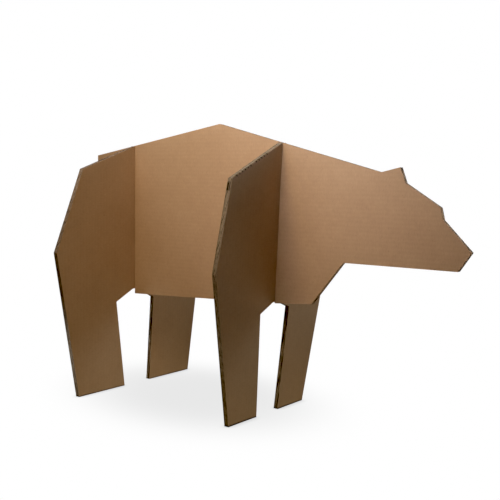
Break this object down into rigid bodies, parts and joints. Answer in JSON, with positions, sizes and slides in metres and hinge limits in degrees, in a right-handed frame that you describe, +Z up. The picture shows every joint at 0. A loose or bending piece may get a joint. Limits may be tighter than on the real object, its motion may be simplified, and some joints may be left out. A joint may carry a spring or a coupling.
{
  "type": "cardboard bear sculpture",
  "caption": "Standing bear made of slotted sheets of corrugated cardboard: a side-view body sheet crossed by a front and a rear leg sheet.",
  "frame": {"origin": "on the floor, midway between the tail end and the tip of the nose, in the middle plane of the body sheet", "axes": "+X towards the head, +Y towards the bear's left side, +Z up"},
  "size_m": [0.8486, 0.431, 0.5432],
  "materials": {
    "body_board": "plain brown kraft liner, matt",
    "front_leg_board": "plain brown kraft liner, matt",
    "rear_leg_board": "plain brown kraft liner, matt"
  },
  "bodies": {
    "root": {"body_sheet": "body_board", "front_leg_sheet": "front_leg_board", "rear_leg_sheet": "rear_leg_board"}
  },
  "joints": []
}
